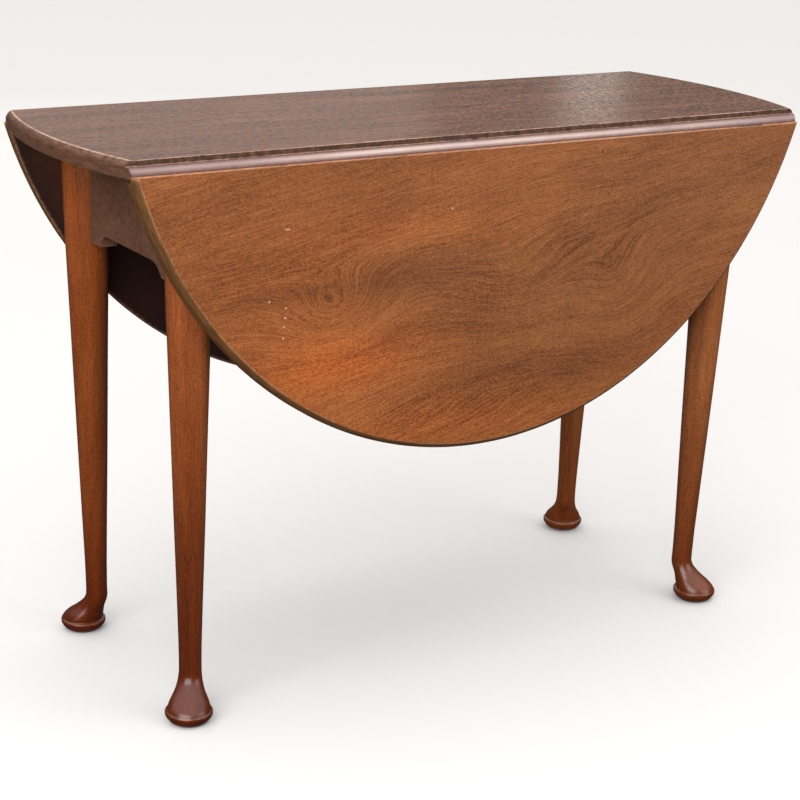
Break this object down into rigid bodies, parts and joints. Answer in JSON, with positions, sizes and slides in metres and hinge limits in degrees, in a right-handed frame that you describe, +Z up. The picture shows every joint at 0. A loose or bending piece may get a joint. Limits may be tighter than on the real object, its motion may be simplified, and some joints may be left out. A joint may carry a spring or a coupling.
{
  "type": "drop leaf table",
  "caption": "Long narrow wooden table with a rounded hanging leaf along each side on rule joints, turned tapering legs with pad feet, and gate legs that swing out.",
  "frame": {"origin": "on the floor, under the middle of the table", "axes": "+X along the table, towards the right-hand end as seen from the front; +Y to the rear; +Z up"},
  "size_m": [1.06, 0.383, 0.72],
  "materials": {
    "top_wood": "old mahogany, greyish brown, worn satin varnish, pale worn arrises",
    "leaf_wood": "figured mahogany, warm orange brown, satin varnish",
    "leg_wood": "turned mahogany, red brown, satin varnish",
    "apron_wood": "dark brown mahogany, dull satin varnish",
    "inner_wood": "unvarnished secondary wood, dusty brown",
    "iron": "dark forged iron with a brown patina",
    "screw_steel": "tarnished steel"
  },
  "bodies": {
    "base": {"fixed_top": "top_wood", "front_left_leg": "leg_wood", "left_apron": "apron_wood", "front_inner_rail": "inner_wood", "front_outer_rail": "apron_wood", "front_knuckle_pin": "iron", "front_corner_block_left": "inner_wood", "front_corner_block_right": "inner_wood", "left_apron_peg_1": "leg_wood", "left_apron_peg_2": "leg_wood", "front_outer_rail_peg": "leg_wood", "front_hinge_a_top_plate": "iron", "front_hinge_a_pin": "screw_steel", "front_hinge_a_top_screw_1": "screw_steel", "front_hinge_a_top_screw_2": "screw_steel", "front_hinge_b_top_plate": "iron", "front_hinge_b_pin": "screw_steel", "front_hinge_b_top_screw_1": "screw_steel", "front_hinge_b_top_screw_2": "screw_steel", "rear_right_leg": "leg_wood", "right_apron": "apron_wood", "rear_inner_rail": "inner_wood", "rear_outer_rail": "apron_wood", "rear_knuckle_pin": "iron", "rear_corner_block_left": "inner_wood", "rear_corner_block_right": "inner_wood", "right_apron_peg_1": "leg_wood", "right_apron_peg_2": "leg_wood", "rear_outer_rail_peg": "leg_wood", "rear_hinge_a_top_plate": "iron", "rear_hinge_a_pin": "screw_steel", "rear_hinge_a_top_screw_1": "screw_steel", "rear_hinge_a_top_screw_2": "screw_steel", "rear_hinge_b_top_plate": "iron", "rear_hinge_b_pin": "screw_steel", "rear_hinge_b_top_screw_1": "screw_steel", "rear_hinge_b_top_screw_2": "screw_steel"},
    "front_drop_leaf": {"front_leaf": "leaf_wood", "front_hinge_a_leaf_plate": "iron", "front_hinge_a_leaf_screw_1": "screw_steel", "front_hinge_a_leaf_screw_2": "screw_steel", "front_hinge_b_leaf_plate": "iron", "front_hinge_b_leaf_screw_1": "screw_steel", "front_hinge_b_leaf_screw_2": "screw_steel"},
    "front_gate": {"front_gate_rail": "apron_wood", "front_right_leg": "leg_wood", "front_gate_peg_1": "leg_wood", "front_gate_peg_2": "leg_wood"},
    "rear_drop_leaf": {"rear_leaf": "leaf_wood", "rear_hinge_a_leaf_plate": "iron", "rear_hinge_a_leaf_screw_1": "screw_steel", "rear_hinge_a_leaf_screw_2": "screw_steel", "rear_hinge_b_leaf_plate": "iron", "rear_hinge_b_leaf_screw_1": "screw_steel", "rear_hinge_b_leaf_screw_2": "screw_steel"},
    "rear_gate": {"rear_gate_rail": "apron_wood", "rear_left_leg": "leg_wood", "rear_gate_peg_1": "leg_wood", "rear_gate_peg_2": "leg_wood"}
  },
  "joints": [
    {"name": "front_leaf_hinge", "type": "hinge", "parent": "base", "child": "front_drop_leaf", "pos_m": [0, -0.175, 0.7035], "axis": [-1, 0, 0], "range_deg": [0, 90]},
    {"name": "rear_leaf_hinge", "type": "hinge", "parent": "base", "child": "rear_drop_leaf", "pos_m": [0, 0.175, 0.7035], "axis": [1, 0, 0], "range_deg": [0, 90]},
    {"name": "front_gate_swing", "type": "hinge", "parent": "base", "child": "front_gate", "pos_m": [0.07, -0.1225, 0.634], "axis": [0, 0, -1], "range_deg": [0, 0.4]},
    {"name": "rear_gate_swing", "type": "hinge", "parent": "base", "child": "rear_gate", "pos_m": [-0.07, 0.1225, 0.634], "axis": [0, 0, -1], "range_deg": [0, 0.4]}
  ]
}
